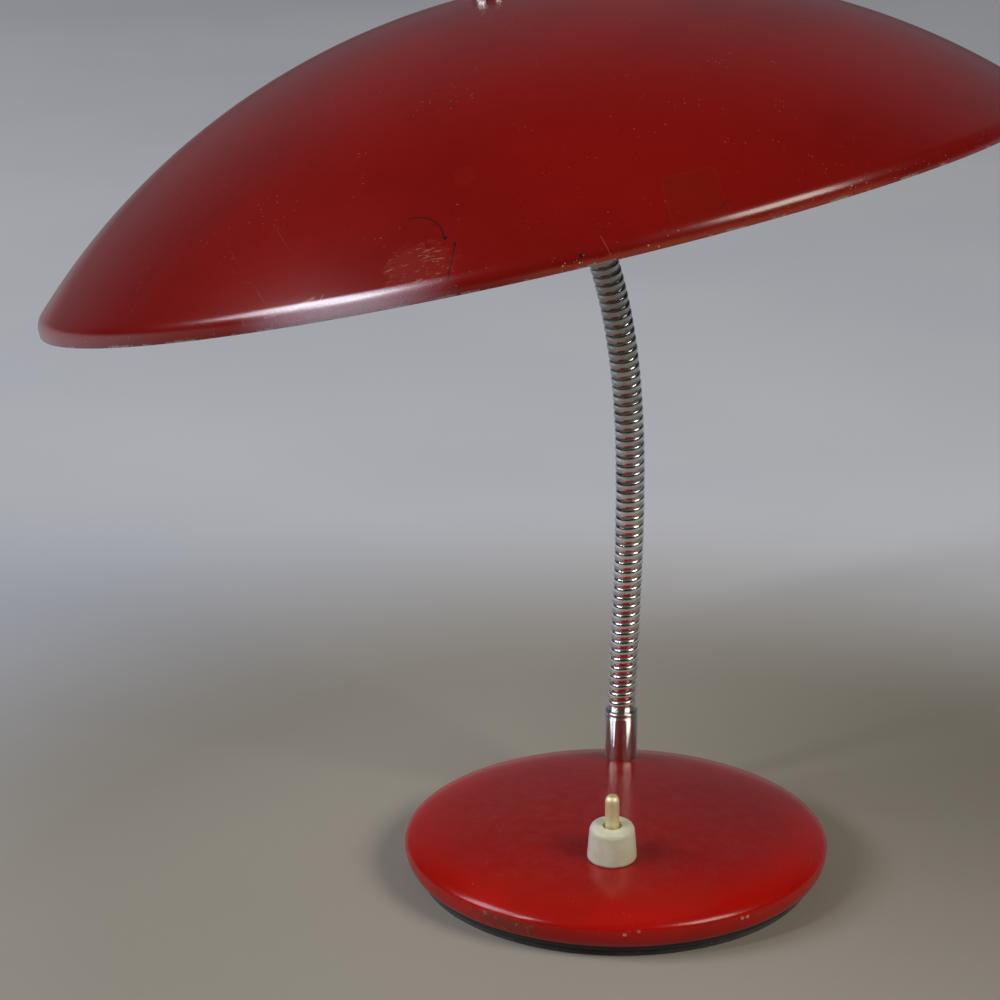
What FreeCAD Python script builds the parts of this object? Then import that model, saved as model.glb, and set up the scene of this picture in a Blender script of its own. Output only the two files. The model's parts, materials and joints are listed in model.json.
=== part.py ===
import FreeCAD, Part
import math
import os

# Gooseneck desk lamp with a wide dished shade. Millimetres, +Z up.
# The origin is on the table under the centre of the round base, the push button is at the
# front (-Y) and the arm stands at the rear (+Y).

V = FreeCAD.Vector
UP = V(0, 0, 1)

# --- base ---
BASE_R = 84.6
EQUATOR_Z = 13.0
DOME_H = 14.0
COVER_T = 1.2
FOOT_R = 80.0
FELT_R = 78.6
FELT_T = 3.0
PLATE_R = 79.6
PLATE_T = 2.0
COVER_BOTTOM = FELT_T + PLATE_T
WEIGHT_SLOT_W = 32.0
PLATE_SCREW_PCD_R = 55.0
PLATE_SCREW_ANGLES = (45, 135, 225, 315)
PLATE_SCREW_R = 2.0
PLATE_SCREW_HEAD_R = 4.0
PLATE_SCREW_L = 12.0

# --- terminal block ---
BLOCK_W = 18.0
BLOCK_D = 16.0
BLOCK_H = 9.0
WAY_X = 4.5
WAY_Y = 4.0
WAY_Z = 4.0

# --- foot of the arm ---
ARM_Y = 57.7
ARM_BASE_Z = 48.0
STUB_R = 5.0
STUB_BORE_R = 3.4
FERRULE_R = 6.8
NUT_FLATS = 14.0
NUT_T = 3.0
NUT_TOP_Z = 17.5
COLLAR_DROP = 2.6

# --- push button switch ---
SWITCH_Y = -43.0
SWITCH_LEAN = 5.6
SWITCH_CAP_BOTTOM_R = 9.6
SWITCH_CAP_TOP_R = 8.7
SWITCH_CAP_H = 14.0
SWITCH_NECK_R = 5.0
SWITCH_NECK_BORE_R = 3.4
BUTTON_R = 2.75
BUTTON_TIP_H = 13.0
BUTTON_SHOULDER_R = 3.2
SWITCH_HOUSING_H = 13.5
SWITCH_HOUSING_TOP = -COVER_T - 2.6
SWITCH_WELL = 11.0
TERMINAL_X = 8.0

# --- mains inlet ---
INLET_R = 4.0
INLET_Z = 12.6
INLET_FLANGE_R = 6.2

# --- gooseneck ---
LINKS = 9
LINK_PITCH = 29.1
LINK_GAP = 2.0
LINK_START_GAP = 0.4
NECK_R = 6.0
NECK_BORE_R = 3.4
RIBS_PER_LINK = 8
RIB_DEPTH = 0.7
LEAN_LEFT_START = -2.1
LEAN_LEFT_GAIN = 38.8
LEAN_LEFT_POWER = 2.8
LEAN_FRONT_GAIN = 27.9
LEAN_FRONT_POWER = 1.65
LEAD_R = 2.2
LEAD_TIGHT_BEND = 5.0
SHARP_TURN = math.radians(20)
LEAD_FLOOR = 2.4

# --- knuckle under the shade ---
KNUCKLE_H = 18.0
TOP_FERRULE_L = 9.0
STEM_R = 4.0
STEM_BORE_R = 2.6
RUNNING_GAP = 0.06
CHEEK_R = 6.5
CHEEK_IN = 3.0
CHEEK_OUT = 5.2
TONGUE_R = 6.0
TONGUE_HALF_T = 2.7
TILT_SCREW_R = 2.0

# --- head ---
HUB_R = 13.0
HUB_Z0 = 11.0
HUB_Z1 = 21.0
HOLDER_X = 20.0
HOLDER_Z = 8.0
HOLDER_DROOP = 20.0
HOLDER_R = 13.0
HOLDER_L = 38.0
HOLDER_WALL = 1.6
HOLDER_STEP = 0.8
BRIDGE_W = 16.0
BRIDGE_T = 1.6
LUG_H = 22.0
LUG_DROP = 8.0
BULB_R = 22.5
BULB_BALL_AT = 67.5
BULB_CAP_R = 6.9
BULB_NECK_R = 7.6
BULB_FLARE = 5.0
BULB_FOOT = 37.5
GLASS_T = 0.8

# --- shade ---
SHADE_RIM_R = 192.0
SHADE_DEPTH = 85.5
SHADE_T = 0.7
RIM_LIP = 2.5
RIM_EDGE_R = 6.5
SHADE_AXIS = V(-0.2305, 0.1190, 0.9658).normalize()
KNUCKLE_IN_SHADE = 44.0
TOP_HOLE_R = 5.0
TOP_WASHER_R = 9.5
TOP_WASHER_T = 0.8
FINIAL_R = 7.5
FINIAL_SIDE_H = 3.6


def save(name, shape):
    shape.exportStep("parts/" + name + ".step")


def turned(points):
    """Solid of revolution about Z from a closed outline of (radius, height) points."""
    loop = [V(r, 0, z) for r, z in points]
    loop.append(loop[0])
    return Part.Face(Part.makePolygon(loop)).revolve(V(0, 0, 0), UP, 360)


def turned_edges(edges):
    """Solid of revolution about Z from edges in the XZ plane."""
    return Part.Face(Part.Wire(Part.__sortEdges__(edges))).revolve(V(0, 0, 0), UP, 360)


def line(r1, z1, r2, z2):
    return Part.makeLine(V(r1, 0, z1), V(r2, 0, z2))


def rod(radius, z0, z1):
    return Part.makeCylinder(radius, z1 - z0, V(0, 0, z0))


def tube(outer, inner, z0, z1):
    return rod(outer, z0, z1).cut(rod(inner, z0 - 1, z1 + 1))


def hexagon(across_flats, z0, z1):
    corner = across_flats / math.sqrt(3)
    points = [V(corner * math.cos(math.radians(a)), corner * math.sin(math.radians(a)), z0)
              for a in range(0, 361, 60)]
    return Part.Face(Part.makePolygon(points)).extrude(V(0, 0, z1 - z0))


def centred_box(width, depth, z0, z1):
    return Part.makeBox(width, depth, z1 - z0, V(-width / 2, -depth / 2, z0))


def placed(shape, origin, z_axis=UP, x_axis=V(1, 0, 0)):
    """The shape, drawn about its own origin, set at a place with its Z and X turned."""
    rotation = FreeCAD.Rotation(x_axis, z_axis.cross(x_axis), z_axis, "ZXY")
    return shape.transformed(FreeCAD.Placement(origin, rotation).toMatrix(), True)


def group(shapes):
    return Part.makeCompound(shapes)


def rounded_tube(points, radius, tight_bend):
    """A round tube along straight runs and tangent arcs, tight at the sharp corners only."""
    edges = []
    start = points[0]
    for before, corner, after in zip(points, points[1:], points[2:]):
        into = (corner - before).normalize()
        out = (after - corner).normalize()
        turn = into.getAngle(out)
        shorter = min((corner - before).Length, (after - corner).Length)
        bend = 0.45 * shorter / math.tan(turn / 2)
        if turn > SHARP_TURN:
            bend = min(bend, tight_bend)
        cut = bend * math.tan(turn / 2)
        a = corner - into * cut
        b = corner + out * cut
        bisector = (out - into).normalize()
        middle = corner + bisector * (bend / math.cos(turn / 2) - bend)
        edges.append(Part.makeLine(start, a))
        edges.append(Part.Arc(a, middle, b).toShape())
        start = b
    edges.append(Part.makeLine(start, points[-1]))
    path = Part.Wire(edges)
    circle = Part.Wire(Part.makeCircle(radius, points[0], points[1] - points[0]))
    return path.makePipeShell([circle], True, False)


# ---------------------------------------------------------------- base

def ellipse_quarter(centre_r, centre_z, start, end):
    """Quarter of an ellipse, from its long half axis to its short one."""
    ellipse = Part.Ellipse(V(start[0], 0, start[1]), V(end[0], 0, end[1]), V(centre_r, 0, centre_z))
    return Part.ArcOfEllipse(ellipse, 0, math.pi / 2).toShape()


def dome_edges(inset):
    top_z = EQUATOR_Z + DOME_H - inset
    side_r = BASE_R - inset
    foot_r = FOOT_R - inset
    dome = ellipse_quarter(0, EQUATOR_Z, (side_r, EQUATOR_Z), (0, top_z))
    curl = ellipse_quarter(foot_r, EQUATOR_Z, (foot_r, COVER_BOTTOM), (side_r, EQUATOR_Z))
    return dome, curl, foot_r, top_z


def dome_solid(inset):
    """Everything under the dome, down to the cover's lower edge."""
    dome, curl, foot_r, top_z = dome_edges(inset)
    floor = line(0, COVER_BOTTOM, foot_r, COVER_BOTTOM)
    axis = line(0, COVER_BOTTOM, 0, top_z)
    return turned_edges([dome, curl, floor, axis])


def dome_z(y):
    """Height of the cover's outer face above the table, at a distance from the centre."""
    return EQUATOR_Z + DOME_H * math.sqrt(1 - (y / BASE_R) ** 2)


def switch_frame():
    lean = math.radians(SWITCH_LEAN)
    axis = V(0, -math.sin(lean), math.cos(lean))
    return V(0, SWITCH_Y, dome_z(SWITCH_Y)), axis


def at_switch(shape):
    origin, axis = switch_frame()
    return placed(shape, origin, axis)


def at_arm(shape):
    return placed(shape, V(0, ARM_Y, 0))


def at_inlet(shape):
    return placed(shape, V(0, BASE_R, INLET_Z), V(0, 1, 0))


def make_cover():
    shell = dome_solid(0).cut(dome_solid(COVER_T))
    shell = shell.cut(at_arm(rod(STUB_R, 0, 60)))
    shell = shell.cut(at_switch(rod(SWITCH_NECK_R, -20, 20)))
    return shell.cut(at_inlet(rod(INLET_R, -20, 20)))


def plate_screw():
    shank_z = FELT_T + PLATE_T
    head = turned([(0, FELT_T), (PLATE_SCREW_HEAD_R, FELT_T), (PLATE_SCREW_R, shank_z), (0, shank_z)])
    shank = rod(PLATE_SCREW_R, shank_z, FELT_T + PLATE_SCREW_L)
    return head.fuse(shank).removeSplitter()


def plate_screws():
    screws = []
    for angle in PLATE_SCREW_ANGLES:
        a = math.radians(angle)
        spot = V(PLATE_SCREW_PCD_R * math.cos(a), PLATE_SCREW_PCD_R * math.sin(a), 0)
        screws.append(placed(plate_screw(), spot))
    return screws


def make_felt():
    return turned([(0, 0), (FELT_R - 0.6, 0), (FELT_R, 0.6), (FELT_R, FELT_T), (0, FELT_T)])


def make_bottom_plate(screws):
    plate = rod(PLATE_R, FELT_T, COVER_BOTTOM)
    for screw in screws:
        plate = plate.cut(screw)
    return plate


def make_weight(screws):
    """Cast disc under the dome, open from the switch to the rear for the wiring and the arm."""
    disc = turned([(0, COVER_BOTTOM), (74, COVER_BOTTOM), (76.5, 7.5), (76.5, 14), (68, 18.5),
                   (50, 21.5), (0, 23)])
    front = SWITCH_Y - 16
    slot = Part.makeBox(WEIGHT_SLOT_W, 100 - front, 40, V(-WEIGHT_SLOT_W / 2, front, 0))
    weight = disc.cut(slot)
    for screw in screws:
        weight = weight.cut(screw)
    return weight


def make_inlet_bush():
    barrel = at_inlet(rod(INLET_R, -6, 2.6))
    flange = at_inlet(turned([(0, -6), (INLET_FLANGE_R, -6), (INLET_FLANGE_R, 1.6), (5.2, 2.6), (0, 2.6)]))
    collar = at_inlet(rod(5.2, -6, -0.5))
    bush = barrel.fuse([flange.cut(dome_solid(0)), collar.common(dome_solid(COVER_T))])
    return bush.cut(at_inlet(rod(2.8, -10, 10))).removeSplitter()


def make_terminal_block():
    """Two-way screw connector that lies on the plate between switch and arm."""
    block = centred_box(BLOCK_W, BLOCK_D, COVER_BOTTOM, COVER_BOTTOM + BLOCK_H)
    for x in (-WAY_X, WAY_X):
        block = block.cut(placed(rod(2.2, -BLOCK_D, BLOCK_D), V(x, 0, COVER_BOTTOM + WAY_Z), V(0, 1, 0)))
    for x, y in terminal_spots():
        block = block.cut(placed(rod(2.0, 0, BLOCK_H), V(x, y, COVER_BOTTOM + WAY_Z + 1)))
    return block


def terminal_spots():
    return [(x, y) for x in (-WAY_X, WAY_X) for y in (-WAY_Y, WAY_Y)]


def terminal_screws():
    return [placed(rod(1.9, 0, 3), V(x, y, COVER_BOTTOM + WAY_Z + 2.3)) for x, y in terminal_spots()]


# ---------------------------------------------------------------- foot of the arm

def make_arm_ferrule():
    collar_z = ARM_BASE_Z - COLLAR_DROP
    neck_r = STUB_R + 0.6
    sleeve = turned([(STUB_R, 15), (FERRULE_R, 15), (FERRULE_R, collar_z - 0.8),
                     (FERRULE_R - 0.7, collar_z), (neck_r, collar_z), (neck_r, ARM_BASE_Z),
                     (STUB_R, ARM_BASE_Z)])
    return at_arm(sleeve).cut(dome_solid(0))


def make_arm_stub():
    return at_arm(tube(STUB_R, STUB_BORE_R, 10, ARM_BASE_Z))


def make_arm_washer():
    """Bevelled washer that fills the wedge between the level nut and the sloping cover."""
    blank = at_arm(tube(9, STUB_R, NUT_TOP_Z, 30))
    return blank.common(dome_solid(COVER_T))


def make_arm_nut():
    return at_arm(hexagon(NUT_FLATS, NUT_TOP_Z - NUT_T, NUT_TOP_Z).cut(rod(STUB_R, 0, 40)))


# ---------------------------------------------------------------- switch, drawn about the cover's face

def make_switch_cap():
    h = SWITCH_CAP_H
    outline = [(SWITCH_NECK_R, 0.05), (SWITCH_CAP_BOTTOM_R, 0.05), (SWITCH_CAP_BOTTOM_R, 1.2),
               (SWITCH_CAP_TOP_R, h - 1.6), (SWITCH_CAP_TOP_R - 0.5, h - 0.5),
               (SWITCH_CAP_TOP_R - 1.7, h), (SWITCH_NECK_BORE_R + 0.2, h),
               (SWITCH_NECK_BORE_R + 0.2, h - 3), (SWITCH_NECK_R, h - 3)]
    return at_switch(turned(outline))


def make_switch_neck():
    return at_switch(tube(SWITCH_NECK_R, SWITCH_NECK_BORE_R, SWITCH_HOUSING_TOP, SWITCH_CAP_H - 3))


def make_switch_nut():
    return at_switch(hexagon(13, -COVER_T - 2.4, -COVER_T - 0.1).cut(rod(SWITCH_NECK_R, -10, 10)))


def make_switch_housing():
    """Moulded body that holds the contacts, open at the top for the plunger."""
    top = SWITCH_HOUSING_TOP
    body = centred_box(22, 24, top - SWITCH_HOUSING_H, top)
    body = body.cut(rod(SWITCH_NECK_BORE_R, top - SWITCH_WELL, top + 1))
    for x in (-TERMINAL_X, TERMINAL_X):
        body = body.cut(placed(centred_box(3, 8, top - SWITCH_HOUSING_H - 1, top - 9.5), V(x, 0, 0)))
    return at_switch(body)


def switch_terminals():
    z = SWITCH_HOUSING_TOP - SWITCH_HOUSING_H
    blade = centred_box(1, 6, z + 0.4, z + 4)
    return [at_switch(placed(blade, V(x, 0, 0))) for x in (-TERMINAL_X, TERMINAL_X)]


def make_switch_spring():
    """Compression spring under the plunger, as the tube that its coils fill."""
    return at_switch(tube(2.4, 1.9, SWITCH_HOUSING_TOP - SWITCH_WELL, SWITCH_HOUSING_TOP - 6.2))


def make_button():
    """Brass plunger with a shoulder that the neck keeps in."""
    base = SWITCH_HOUSING_TOP - 6.0
    tip = SWITCH_CAP_H + BUTTON_TIP_H
    shoulder_top = SWITCH_HOUSING_TOP - 1.0
    return at_switch(turned([(0, base), (BUTTON_SHOULDER_R, base), (BUTTON_SHOULDER_R, shoulder_top),
                             (BUTTON_R, shoulder_top), (BUTTON_R, tip - 1.4), (BUTTON_R - 0.45, tip - 0.45),
                             (BUTTON_R - 1.4, tip), (0, tip)]))


# ---------------------------------------------------------------- gooseneck

def neck_direction(link):
    """Unit direction of one link: it leans left and forward more and more towards the top."""
    u = (link + 0.5) / LINKS
    left = math.radians(LEAN_LEFT_START + LEAN_LEFT_GAIN * u ** LEAN_LEFT_POWER)
    front = math.radians(LEAN_FRONT_GAIN * u ** LEAN_FRONT_POWER)
    return V(-math.tan(left), -math.tan(front), 1).normalize()


def neck_joints():
    """The points where links meet, from the foot of the arm to the end of the gooseneck."""
    points = [V(0, ARM_Y, ARM_BASE_Z)]
    for link in range(LINKS):
        points.append(points[-1] + neck_direction(link) * LINK_PITCH)
    return points


def make_link(link, points):
    """A ribbed tube that ends half a gap short of the joints it shares with its neighbours."""
    z0 = LINK_START_GAP if link == 0 else LINK_GAP / 2
    z1 = LINK_PITCH if link == LINKS - 1 else LINK_PITCH - LINK_GAP / 2
    pitch = (z1 - z0) / RIBS_PER_LINK
    valley = NECK_R - RIB_DEPTH
    edges = [line(NECK_BORE_R, z0, valley, z0)]
    for rib in range(RIBS_PER_LINK):
        low = z0 + rib * pitch
        ends = V(valley, 0, low), V(valley, 0, low + pitch)
        edges.append(Part.Arc(ends[0], V(NECK_R, 0, low + pitch / 2), ends[1]).toShape())
    edges.append(line(valley, z1, NECK_BORE_R, z1))
    edges.append(line(NECK_BORE_R, z1, NECK_BORE_R, z0))
    return placed(turned_edges(edges), points[link], neck_direction(link))


def make_neck_lead(points):
    """Flex inside the gooseneck, from the terminal block to the stem of the knuckle."""
    floor = COVER_BOTTOM + LEAD_FLOOR
    low = [V(-4.5, 9, COVER_BOTTOM + 4), V(-4.0, 22, floor), V(-1.5, 40, floor), V(0, ARM_Y, floor)]
    top = points[-1] + neck_direction(LINKS - 1) * 6
    return rounded_tube(low + points[:-1] + [top], LEAD_R, LEAD_TIGHT_BEND)


# ---------------------------------------------------------------- knuckle and head

def knuckle_centre():
    return neck_joints()[-1] + neck_direction(LINKS - 1) * KNUCKLE_H


def tilt_axis():
    """Level pin of the knuckle, square to both the gooseneck's end and the shade's axis."""
    return SHADE_AXIS.cross(neck_direction(LINKS - 1)).normalize()


def on_neck(shape):
    return placed(shape, knuckle_centre(), neck_direction(LINKS - 1), tilt_axis())


def on_head(shape):
    return placed(shape, knuckle_centre(), SHADE_AXIS, tilt_axis())


def across(shape):
    """Turns a shape drawn about Z so that it lies along X, the knuckle's pin."""
    return placed(shape, V(0, 0, 0), V(1, 0, 0), V(0, 0, -1))


def make_top_ferrule():
    z0 = -KNUCKLE_H
    z1 = z0 + TOP_FERRULE_L
    bore = STEM_R + RUNNING_GAP
    return on_neck(turned([(5.3, z0), (FERRULE_R - 0.6, z0), (FERRULE_R, z0 + 0.6), (FERRULE_R, z1 - 0.6),
                           (FERRULE_R - 0.6, z1), (bore, z1), (bore, z0 + 3.4), (5.3, z0 + 3.4)]))


def make_swivel_fork():
    """Hollow stem that turns in the ferrule, with two cheeks for the tilting tongue."""
    ferrule_top = TOP_FERRULE_L - KNUCKLE_H
    stem = rod(STEM_R, 1.0 - KNUCKLE_H, ferrule_top + 1)
    flange = rod(FERRULE_R - 0.2, ferrule_top + 0.3, -6.9)
    fork = stem.fuse(flange)
    for side in (-1, 1):
        middle = side * (CHEEK_IN + CHEEK_OUT) / 2
        plate = Part.makeBox(CHEEK_OUT - CHEEK_IN, 9, 8, V(middle - (CHEEK_OUT - CHEEK_IN) / 2, -4.5, -8))
        disc = placed(across(rod(CHEEK_R, -(CHEEK_OUT - CHEEK_IN) / 2, (CHEEK_OUT - CHEEK_IN) / 2)),
                      V(middle, 0, 0))
        fork = fork.fuse([plate, disc])
    fork = fork.cut(rod(STEM_BORE_R, -KNUCKLE_H, -6))
    return on_neck(fork.cut(across(rod(TILT_SCREW_R, -20, 20))).removeSplitter())


def make_swivel_clip():
    return on_neck(tube(4.9, STEM_R, 1.4 - KNUCKLE_H, 2.6 - KNUCKLE_H))


def make_tilt_screw():
    shank = rod(TILT_SCREW_R, -9.6, CHEEK_OUT)
    head = turned([(0, CHEEK_OUT), (4, CHEEK_OUT), (4, CHEEK_OUT + 1.6), (2.6, CHEEK_OUT + 2.6),
                   (0, CHEEK_OUT + 2.6)])
    slot = centred_box(0.9, 9, CHEEK_OUT + 1.5, CHEEK_OUT + 4)
    return on_neck(across(shank.fuse(head).cut(slot).removeSplitter()))


def make_tilt_nut():
    """Knurled brass nut that sets the knuckle's friction."""
    nut = tube(4.6, TILT_SCREW_R, -9.2, -6.0)
    for tooth in range(16):
        a = math.radians(360 / 16 * tooth)
        nut = nut.cut(placed(rod(0.45, -10, -5), V(4.75 * math.cos(a), 4.75 * math.sin(a), 0)))
    return on_neck(across(nut))


def make_tilt_washer():
    return on_neck(across(tube(4.2, TILT_SCREW_R, -6.0, -CHEEK_OUT)))


def make_tilt_tongue():
    """Flat tongue between the cheeks, in one piece with the stem under the hub."""
    disc = across(rod(TONGUE_R, -TONGUE_HALF_T, TONGUE_HALF_T))
    strap = Part.makeBox(2 * TONGUE_HALF_T, 9, HUB_Z0, V(-TONGUE_HALF_T, -4.5, 0))
    tongue = disc.fuse(strap).cut(across(rod(TILT_SCREW_R + RUNNING_GAP, -20, 20)))
    return on_head(tongue.removeSplitter())


def shade_inner_z():
    """Height of the shade's inner face over the knuckle, on the shade's axis."""
    return SHADE_DEPTH - SHADE_T - KNUCKLE_IN_SHADE


def make_hub():
    hub = turned([(0, HUB_Z0), (HUB_R - 1, HUB_Z0), (HUB_R, HUB_Z0 + 1), (HUB_R, HUB_Z1 - 1),
                  (HUB_R - 1, HUB_Z1), (0, HUB_Z1)])
    return on_head(hub.cut(rod(TOP_HOLE_R, HUB_Z0 + 3, HUB_Z1 + 1)))


def make_centre_tube():
    return on_head(tube(TOP_HOLE_R, 3.6, HUB_Z0 + 3, shade_inner_z() + 6))


def make_holder_bridge():
    """Bent strip over the hub whose turned-down ends carry the two lamp holders."""
    droop = math.radians(HOLDER_DROOP)
    top = HUB_Z1 + BRIDGE_T
    end_x = HOLDER_X + HOLDER_R * math.sin(droop)
    bridge = Part.makeBox(2 * end_x, BRIDGE_W, BRIDGE_T, V(-end_x, -BRIDGE_W / 2, HUB_Z1))
    for side in (-1, 1):
        outward = V(side * math.cos(droop), 0, -math.sin(droop))
        lug = Part.makeBox(BRIDGE_T, BRIDGE_W, LUG_H, V(-BRIDGE_T, -BRIDGE_W / 2, -LUG_DROP))
        upward = outward.cross(V(0, side, 0))
        bridge = bridge.fuse(placed(lug, V(side * HOLDER_X, 0, HOLDER_Z), upward, outward))
    above = Part.makeBox(200, 60, 60, V(-100, -30, top))
    bridge = bridge.cut(above).cut(rod(TOP_HOLE_R, HUB_Z1 - 1, top + 1))
    return on_head(bridge.removeSplitter())


def make_jam_nut():
    z = HUB_Z1 + BRIDGE_T
    return on_head(hexagon(NUT_FLATS, z, z + 2.5).cut(rod(TOP_HOLE_R, 0, 60)))


def on_holders(shape):
    """Two copies of a shape drawn about Z, set along the two drooping lamp holder axes."""
    droop = math.radians(HOLDER_DROOP)
    copies = []
    for side in (-1, 1):
        outward = V(side * math.cos(droop), 0, -math.sin(droop))
        copies.append(on_head(placed(shape, V(side * HOLDER_X, 0, HOLDER_Z), outward, V(0, 1, 0))))
    return copies


def holder_shell():
    mouth_r = HOLDER_R - HOLDER_STEP
    outer = turned([(0, 0), (10.5, 0), (HOLDER_R, 4), (HOLDER_R, 20), (mouth_r, 21),
                    (mouth_r, HOLDER_L), (0, HOLDER_L)])
    return outer.cut(rod(mouth_r - HOLDER_WALL, 9, HOLDER_L + 1)).cut(rod(3, -1, 10))


def holder_ring():
    """Screwed skirt ring round the middle of the holder."""
    return tube(HOLDER_R + 2, HOLDER_R - HOLDER_STEP, 22, 27)


def holder_core():
    """Ceramic insert with the threaded sleeve that the bulb cap screws into."""
    core = rod(HOLDER_R - HOLDER_STEP - HOLDER_WALL, 9, 13)
    sleeve = tube(8.6, 7.2, 13, HOLDER_L - 2)
    return core.fuse(sleeve).removeSplitter()


def holder_contact():
    return rod(2.5, 13, 14.2)


def bulb_cap():
    """Screw cap: a grooved sleeve with the centre contact at its foot."""
    points = [(0, 14.4), (2.4, 14.4), (5.4, 16.4)]
    z = 16.6
    for turn in range(5):
        points += [(BULB_CAP_R - 0.6, z), (BULB_CAP_R, z + 1.4), (BULB_CAP_R - 0.6, z + 2.8)]
        z += 3.0
    points += [(BULB_CAP_R, z), (BULB_CAP_R, BULB_FOOT), (0, BULB_FOOT)]
    return turned(points)


def bulb_outline(inset):
    """Edges of the glass from its open foot, up the flared neck and round the ball."""
    neck_r = BULB_NECK_R - inset
    ball_r = BULB_R - inset
    join_r = neck_r + BULB_FLARE
    join_z = BULB_BALL_AT - math.sqrt(ball_r ** 2 - join_r ** 2)
    throat_z = BULB_FOOT + 1
    flare = V(neck_r + BULB_FLARE / 3, 0, throat_z + (join_z - throat_z) * 0.6)
    edges = [line(neck_r, BULB_FOOT, neck_r, throat_z),
             Part.Arc(V(neck_r, 0, throat_z), flare, V(join_r, 0, join_z)).toShape(),
             Part.Arc(V(join_r, 0, join_z), V(ball_r, 0, BULB_BALL_AT), V(0, 0, BULB_BALL_AT + ball_r)).toShape()]
    return edges


def bulb_glass():
    """Thin glass envelope, open at its foot where the cap closes it."""
    foot = line(BULB_NECK_R, BULB_FOOT, BULB_NECK_R - GLASS_T, BULB_FOOT)
    tip = line(0, BULB_BALL_AT + BULB_R, 0, BULB_BALL_AT + BULB_R - GLASS_T)
    return turned_edges(bulb_outline(0) + bulb_outline(GLASS_T) + [foot, tip])


# ---------------------------------------------------------------- shade, drawn about the middle of its rim plane

def shade_outline(inset):
    """Edges of the dish from the rim to the axis: a short lip, a rounded edge and a shallow cap."""
    edge_r = RIM_EDGE_R - inset
    centre_r = SHADE_RIM_R - RIM_EDGE_R
    top = SHADE_DEPTH - inset
    rise = RIM_LIP - SHADE_DEPTH
    full = (RIM_EDGE_R ** 2 - centre_r ** 2 - rise ** 2) / (2 * (rise + RIM_EDGE_R))
    cap_r = full - inset
    cap_z = SHADE_DEPTH - full
    meet = math.atan2(RIM_LIP - cap_z, centre_r)
    join = V(centre_r + edge_r * math.cos(meet), 0, RIM_LIP + edge_r * math.sin(meet))
    half = V(centre_r + edge_r * math.cos(meet / 2), 0, RIM_LIP + edge_r * math.sin(meet / 2))
    crown = (meet + math.pi / 2) / 2
    middle = V(cap_r * math.cos(crown), 0, cap_z + cap_r * math.sin(crown))
    rim_r = SHADE_RIM_R - inset
    return rim_r, top, [line(rim_r, 0, rim_r, RIM_LIP),
                        Part.Arc(V(rim_r, 0, RIM_LIP), half, join).toShape(),
                        Part.Arc(join, middle, V(0, 0, top)).toShape()]


def in_shade(shape):
    return placed(shape, knuckle_centre() - SHADE_AXIS * KNUCKLE_IN_SHADE, SHADE_AXIS, tilt_axis())


def make_shade():
    outer_r, outer_top, outer = shade_outline(0)
    inner_r, inner_top, inner = shade_outline(SHADE_T)
    rim = line(outer_r, 0, inner_r, 0)
    crown = line(0, outer_top, 0, inner_top)
    shell = turned_edges(outer + inner + [rim, crown])
    return in_shade(shell.cut(rod(TOP_HOLE_R, SHADE_DEPTH - 10, SHADE_DEPTH + 10)))


def make_shade_nut():
    """Flanged nut under the crown that the shade sits on."""
    z1 = SHADE_DEPTH - SHADE_T - 0.15
    outline = [(TOP_HOLE_R, z1 - 4), (8, z1 - 4), (8, z1 - 1.4), (12, z1 - 1.4), (12, z1 - 0.4), (TOP_HOLE_R, z1)]
    return in_shade(turned(outline))


def make_top_washer():
    return in_shade(tube(TOP_WASHER_R, TOP_HOLE_R, SHADE_DEPTH, SHADE_DEPTH + TOP_WASHER_T))


def make_finial():
    """Domed cap nut on the crown of the shade."""
    z0 = SHADE_DEPTH + TOP_WASHER_T
    side = z0 + FINIAL_SIDE_H
    top = side + FINIAL_R
    diagonal = FINIAL_R / math.sqrt(2)
    dome = Part.Arc(V(FINIAL_R, 0, side), V(diagonal, 0, side + diagonal), V(0, 0, top)).toShape()
    edges = [line(0, z0, FINIAL_R, z0), line(FINIAL_R, z0, FINIAL_R, side), dome, line(0, top, 0, z0)]
    return in_shade(turned_edges(edges).cut(rod(TOP_HOLE_R, z0 - 1, z0 + 6.2)))


# ---------------------------------------------------------------- write every piece

def write_base():
    screws = plate_screws()
    save("felt_pad", make_felt())
    save("bottom_plate", make_bottom_plate(screws))
    save("plate_screws", group(screws))
    save("base_weight", make_weight(screws))
    save("base_cover", make_cover())
    save("cord_inlet_bush", make_inlet_bush())
    save("terminal_block", make_terminal_block())
    save("terminal_screws", group(terminal_screws()))
    save("arm_ferrule", make_arm_ferrule())
    save("arm_stub", make_arm_stub())
    save("arm_washer", make_arm_washer())
    save("arm_nut", make_arm_nut())


def write_switch():
    save("switch_cap", make_switch_cap())
    save("switch_neck", make_switch_neck())
    save("switch_nut", make_switch_nut())
    save("switch_housing", make_switch_housing())
    save("switch_terminals", group(switch_terminals()))
    save("switch_spring", make_switch_spring())
    save("push_button", make_button())


def write_neck():
    points = neck_joints()
    for link in range(LINKS):
        save("neck_link_" + str(link + 1), make_link(link, points))
    save("neck_lead", make_neck_lead(points))
    save("top_ferrule", make_top_ferrule())


def write_knuckle():
    save("swivel_fork", make_swivel_fork())
    save("swivel_clip", make_swivel_clip())
    save("tilt_screw", make_tilt_screw())
    save("tilt_washer", make_tilt_washer())
    save("tilt_nut", make_tilt_nut())
    save("tilt_tongue", make_tilt_tongue())


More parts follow.
